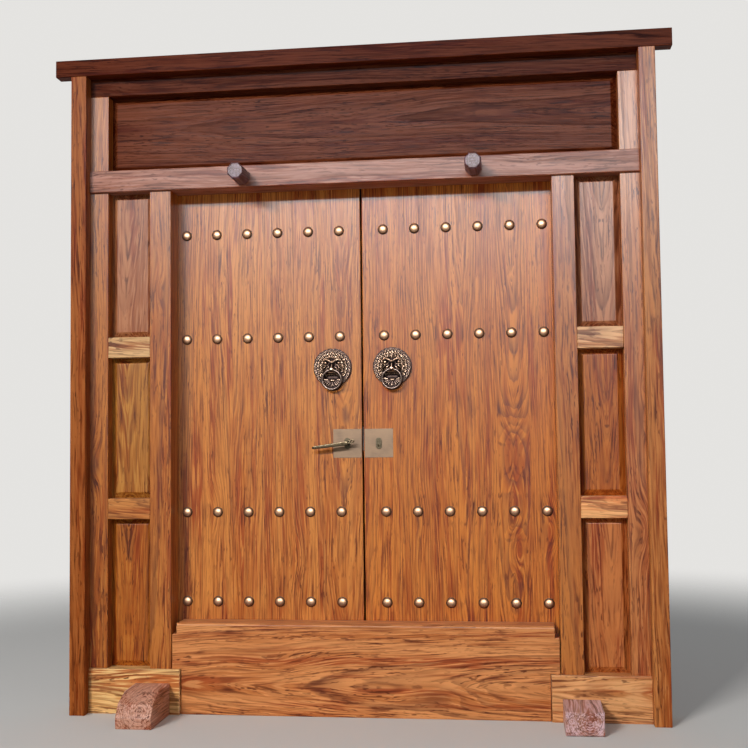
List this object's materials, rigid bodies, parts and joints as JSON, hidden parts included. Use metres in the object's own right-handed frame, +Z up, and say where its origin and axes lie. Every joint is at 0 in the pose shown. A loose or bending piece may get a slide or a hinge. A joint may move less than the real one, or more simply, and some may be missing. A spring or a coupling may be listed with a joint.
{
  "type": "panelled double hall door",
  "caption": "Two-leaf solid wood hall door in its frame: studded boarded leaves on pintles, lion-mask ring knockers, side and transom panels, high threshold and pier blocks.",
  "frame": {"origin": "on the ground, on the doorway's centre line, in the plane of the stiles' front faces", "axes": "+X to the right as seen from in front, +Y inwards through the doorway, +Z up"},
  "size_m": [2.51, 0.4835, 2.69],
  "materials": {
    "frame_wood": "satin varnished reddish hardwood",
    "casing_wood": "satin varnished, browner hardwood",
    "pale_wood": "satin varnished, paler hardwood",
    "panel_wood": "satin varnished red-brown hardwood",
    "threshold_wood": "satin varnished orange hardwood",
    "dark_wood": "dark reddish hardwood, end grain showing",
    "leaf_wood": "satin varnished orange-brown hardwood",
    "bronze": "dark antique bronze, worn bright on high spots",
    "brushed_steel": "brushed",
    "lever_metal": "satin nickel, darkened",
    "lock_steel": "plain bright steel",
    "iron": "black iron"
  },
  "bodies": {
    "frame": {"casing_head": "casing_wood", "casing_left": "casing_wood", "casing_right": "casing_wood", "outer_stile_left": "frame_wood", "outer_stile_right": "frame_wood", "inner_stile_left": "frame_wood", "inner_stile_right": "frame_wood", "top_rail": "panel_wood", "lintel": "pale_wood", "bottom_rail_left": "frame_wood", "bottom_rail_right": "frame_wood", "upper_side_rail_left": "pale_wood", "upper_side_rail_right": "pale_wood", "lower_side_rail_left": "pale_wood", "lower_side_rail_right": "pale_wood", "transom_panel": "panel_wood", "threshold_board": "threshold_wood", "door_pegs": "dark_wood", "peg_wedges": "dark_wood", "pivot_rail": "frame_wood", "pier_block_left": "dark_wood", "pier_block_right": "dark_wood", "pivot_cups": "iron", "top_side_panel_left": "panel_wood", "top_side_panel_right": "panel_wood", "middle_side_panel_left": "panel_wood", "middle_side_panel_right": "panel_wood", "bottom_side_panel_left": "panel_wood", "bottom_side_panel_right": "panel_wood"},
    "leaf_left": {"leaf_board_left_1": "leaf_wood", "leaf_board_left_2": "leaf_wood", "leaf_board_left_3": "leaf_wood", "leaf_board_left_4": "leaf_wood", "leaf_board_left_5": "leaf_wood", "battens_left": "leaf_wood", "studs_left": "bronze", "knocker_mask_left": "bronze", "lock_plate_left": "brushed_steel", "lever_rosette": "lever_metal", "lever_rosette_inner": "lever_metal", "latch_case": "lock_steel"},
    "leaf_right": {"leaf_board_right_1": "leaf_wood", "leaf_board_right_2": "leaf_wood", "leaf_board_right_3": "leaf_wood", "leaf_board_right_4": "leaf_wood", "leaf_board_right_5": "leaf_wood", "battens_right": "leaf_wood", "studs_right": "bronze", "knocker_mask_right": "bronze", "lock_plate_right": "brushed_steel", "keyhole_escutcheon": "lever_metal", "lock_case": "lock_steel", "cylinder": "lever_metal"},
    "knocker_left": {"knocker_ring_left": "bronze"},
    "knocker_right": {"knocker_ring_right": "bronze"},
    "lever": {"lever_handle": "lever_metal", "lever_inner": "lever_metal"},
    "latch": {"latch_bolt": "lock_steel"},
    "plug": {"cylinder_plug": "lever_metal"},
    "bolt": {"deadbolt": "lock_steel"}
  },
  "joints": [
    {"name": "left_leaf_swing", "type": "hinge", "parent": "frame", "child": "leaf_left", "pos_m": [-0.828, 0.134, 1.2], "axis": [0, 0, 1], "range_deg": [0, 90]},
    {"name": "right_leaf_swing", "type": "hinge", "parent": "frame", "child": "leaf_right", "pos_m": [0.828, 0.134, 1.2], "axis": [0, 0, -1], "range_deg": [0, 90]},
    {"name": "left_ring_lift", "type": "hinge", "parent": "leaf_left", "child": "knocker_left", "pos_m": [-0.124, 0.08, 1.3845], "axis": [-1, 0, 0], "range_deg": [-8, 80]},
    {"name": "right_ring_lift", "type": "hinge", "parent": "leaf_right", "child": "knocker_right", "pos_m": [0.124, 0.08, 1.3845], "axis": [-1, 0, 0], "range_deg": [-8, 80]},
    {"name": "lever_turn", "type": "hinge", "parent": "leaf_left", "child": "lever", "pos_m": [-0.065, 0.1, 1.083], "axis": [0, -1, 0], "range_deg": [0, 38], "stiffness_Nm_per_rad": 1.5, "springref_deg": -17.19},
    {"name": "latch_slide", "type": "slide", "parent": "leaf_left", "child": "latch", "axis": [1, 0, 0], "range_m": [0, 0.012]},
    {"name": "key_turn", "type": "hinge", "parent": "leaf_right", "child": "plug", "pos_m": [0.065, 0.11, 1.072], "axis": [0, 1, 0], "range_deg": [0, 360]},
    {"name": "deadbolt_slide", "type": "slide", "parent": "leaf_right", "child": "bolt", "axis": [-1, 0, 0], "range_m": [0, 0.02]}
  ],
  "couplings": [
    {"joint": "key_turn", "follows": "deadbolt_slide", "rad_per_m": 314.15}
  ]
}
